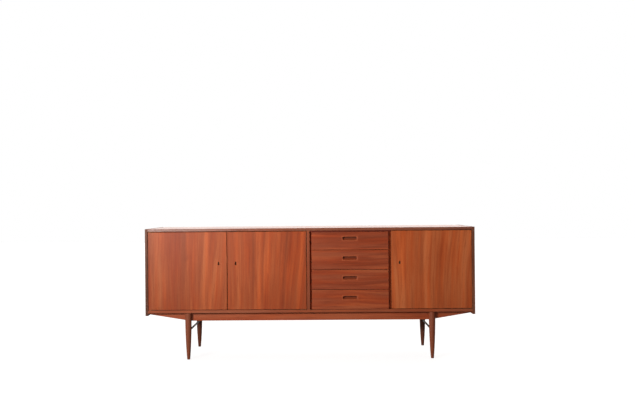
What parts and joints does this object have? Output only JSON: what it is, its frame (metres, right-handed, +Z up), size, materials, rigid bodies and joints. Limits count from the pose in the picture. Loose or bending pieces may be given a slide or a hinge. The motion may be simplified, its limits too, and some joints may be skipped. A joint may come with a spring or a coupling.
{
  "type": "sideboard",
  "caption": "Long low teak sideboard with hinged doors and a stack of drawers with routed finger pulls, on a set-back base of aprons, tapered round legs and metal stretchers.",
  "frame": {"origin": "on the floor, under the middle of the case", "axes": "+X to the right as seen from the front, +Y to the back, +Z up"},
  "size_m": [2, 0.45, 0.8],
  "materials": {
    "door_teak": "satin oiled teak veneer, upright grain",
    "drawer_teak": "satin oiled teak veneer, level grain",
    "case_teak": "satin oiled teak veneer with solid lippings",
    "inner_teak": "matt inside veneer",
    "leg_teak": "satin solid teak, turned",
    "beech": "plain pale hardwood",
    "plywood": "thin plywood",
    "dark_steel": "dull grey bar",
    "lock_steel": "dull plated sheet",
    "brass": "satin",
    "dark_brass": "darkened with age"
  },
  "bodies": {
    "case": {"top_panel": "case_teak", "bottom_panel": "case_teak", "side_panel_left": "case_teak", "side_panel_right": "case_teak", "partition_left": "inner_teak", "partition_middle": "case_teak", "partition_right": "inner_teak", "drawer_liner": "inner_teak", "back_panel": "plywood", "shelf_left": "inner_teak", "shelf_middle": "inner_teak", "shelf_right": "inner_teak", "apron_front": "case_teak", "apron_back": "case_teak", "cross_rail_left": "inner_teak", "cross_rail_right": "inner_teak", "leg_front_left": "leg_teak", "leg_front_right": "leg_teak", "leg_back_left": "leg_teak", "leg_back_right": "leg_teak", "stretcher_left": "dark_steel", "stretcher_right": "dark_steel", "pivot_hinge_left_bottom": "brass", "pivot_hinge_left_top": "brass", "pivot_hinge_middle_bottom": "brass", "pivot_hinge_middle_top": "brass", "pivot_hinge_right_bottom": "brass", "pivot_hinge_right_top": "brass"},
    "left_door": {"door_left": "door_teak", "keyhole_liner_left": "dark_brass", "lock_case_left": "lock_steel"},
    "middle_door": {"door_middle": "door_teak", "keyhole_liner_middle": "dark_brass", "lock_case_middle": "lock_steel"},
    "right_door": {"door_right": "door_teak", "keyhole_liner_right": "dark_brass", "lock_case_right": "lock_steel"},
    "left_bolt": {"lock_bolt_left": "brass"},
    "middle_bolt": {"lock_bolt_middle": "brass"},
    "right_bolt": {"lock_bolt_right": "brass"},
    "drawer_1": {"drawer_1_front": "drawer_teak", "drawer_1_side_left": "beech", "drawer_1_side_right": "beech", "drawer_1_back": "beech", "drawer_1_bottom": "plywood"},
    "drawer_2": {"drawer_2_front": "drawer_teak", "drawer_2_side_left": "beech", "drawer_2_side_right": "beech", "drawer_2_back": "beech", "drawer_2_bottom": "plywood"},
    "drawer_3": {"drawer_3_front": "drawer_teak", "drawer_3_side_left": "beech", "drawer_3_side_right": "beech", "drawer_3_back": "beech", "drawer_3_bottom": "plywood"},
    "drawer_4": {"drawer_4_front": "drawer_teak", "drawer_4_side_left": "beech", "drawer_4_side_right": "beech", "drawer_4_back": "beech", "drawer_4_bottom": "plywood"}
  },
  "joints": [
    {"name": "left_door_swing", "type": "hinge", "parent": "case", "child": "left_door", "pos_m": [-0.971, -0.219, 0.544], "axis": [0, 0, -1], "range_deg": [0, 110]},
    {"name": "middle_door_swing", "type": "hinge", "parent": "case", "child": "middle_door", "pos_m": [-0.029, -0.219, 0.544], "axis": [0, 0, 1], "range_deg": [0, 90]},
    {"name": "right_door_swing", "type": "hinge", "parent": "case", "child": "right_door", "pos_m": [0.971, -0.219, 0.544], "axis": [0, 0, 1], "range_deg": [0, 110]},
    {"name": "left_bolt_slide", "type": "slide", "parent": "left_door", "child": "left_bolt", "axis": [1, 0, 0], "range_m": [0, 0.012]},
    {"name": "middle_bolt_slide", "type": "slide", "parent": "middle_door", "child": "middle_bolt", "axis": [-1, 0, 0], "range_m": [0, 0.012]},
    {"name": "right_bolt_slide", "type": "slide", "parent": "right_door", "child": "right_bolt", "axis": [-1, 0, 0], "range_m": [0, 0.012]},
    {"name": "drawer_1_slide", "type": "slide", "parent": "case", "child": "drawer_1", "axis": [0, -1, 0], "range_m": [0, 0.3]},
    {"name": "drawer_2_slide", "type": "slide", "parent": "case", "child": "drawer_2", "axis": [0, -1, 0], "range_m": [0, 0.3]},
    {"name": "drawer_3_slide", "type": "slide", "parent": "case", "child": "drawer_3", "axis": [0, -1, 0], "range_m": [0, 0.3]},
    {"name": "drawer_4_slide", "type": "slide", "parent": "case", "child": "drawer_4", "axis": [0, -1, 0], "range_m": [0, 0.3]}
  ]
}
